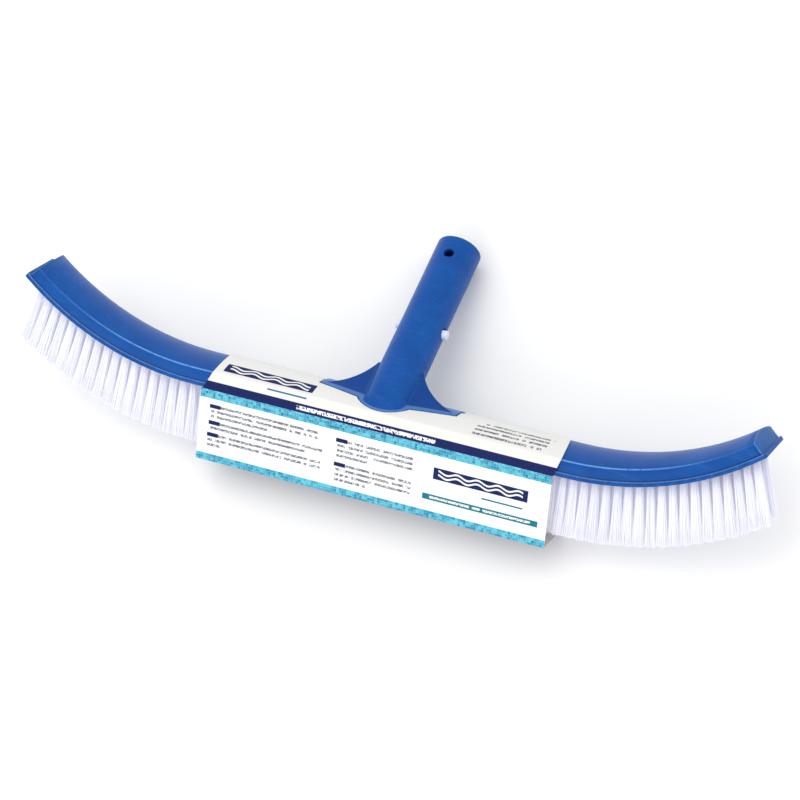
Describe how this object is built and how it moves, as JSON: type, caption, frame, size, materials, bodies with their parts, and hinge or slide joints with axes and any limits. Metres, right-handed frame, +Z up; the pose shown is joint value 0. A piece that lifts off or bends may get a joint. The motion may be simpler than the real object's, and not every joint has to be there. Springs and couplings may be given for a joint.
{
  "type": "pool wall brush",
  "caption": "Curved wall brush for swimming pools: bent moulded back with rows of tufts, a leaning socket handle with a snap clip for a pole, and a folded card sleeve.",
  "frame": {"origin": "middle of the bounding box's underside, on the surface the brush lies on", "axes": "+X along the brush's back to the right, +Y from the bristles towards the handle's open end, +Z up from the table. The brush lies on its rear side, on the handle's end and the card sleeve's lower rear edge, with its bristles pointing to -Y and down"},
  "size_m": [0.4716, 0.1684, 0.0809],
  "materials": {
    "blue_plastic": "injection-moulded blue polypropylene, satin gloss",
    "clip_plastic": "white acetal, smooth",
    "bristles": "white nylon filaments, crimped slightly, semi-translucent",
    "anchor_wire": "flat stainless anchor wire",
    "printed_card": null
  },
  "bodies": {
    "brush": {"brush_back": "blue_plastic", "handle_socket": "blue_plastic", "clip_bow": "clip_plastic", "card_sleeve": "printed_card", "tuft_anchors": "anchor_wire", "front_tufts_1": "bristles", "front_tufts_2": "bristles", "front_tufts_3": "bristles", "front_tufts_4": "bristles", "front_tufts_5": "bristles", "front_tufts_6": "bristles", "middle_tufts_1": "bristles", "middle_tufts_2": "bristles", "middle_tufts_3": "bristles", "middle_tufts_4": "bristles", "middle_tufts_5": "bristles", "middle_tufts_6": "bristles", "rear_tufts_1": "bristles", "rear_tufts_2": "bristles", "rear_tufts_3": "bristles", "rear_tufts_4": "bristles", "rear_tufts_5": "bristles", "rear_tufts_6": "bristles"},
    "left_button": {"clip_left_arm": "clip_plastic"},
    "right_button": {"clip_right_arm": "clip_plastic"}
  },
  "joints": [
    {"name": "left_button_press", "type": "hinge", "parent": "brush", "child": "left_button", "pos_m": [-0.0034, -0.00652, 0.03929], "axis": [0, -0.292, -0.9564], "range_deg": [0, 5.6], "stiffness_Nm_per_rad": 0.9, "springref_deg": -6.88},
    {"name": "right_button_press", "type": "hinge", "parent": "brush", "child": "right_button", "pos_m": [0.0034, -0.00652, 0.03929], "axis": [0, 0.292, 0.9564], "range_deg": [0, 5.6], "stiffness_Nm_per_rad": 0.9, "springref_deg": -6.88}
  ]
}
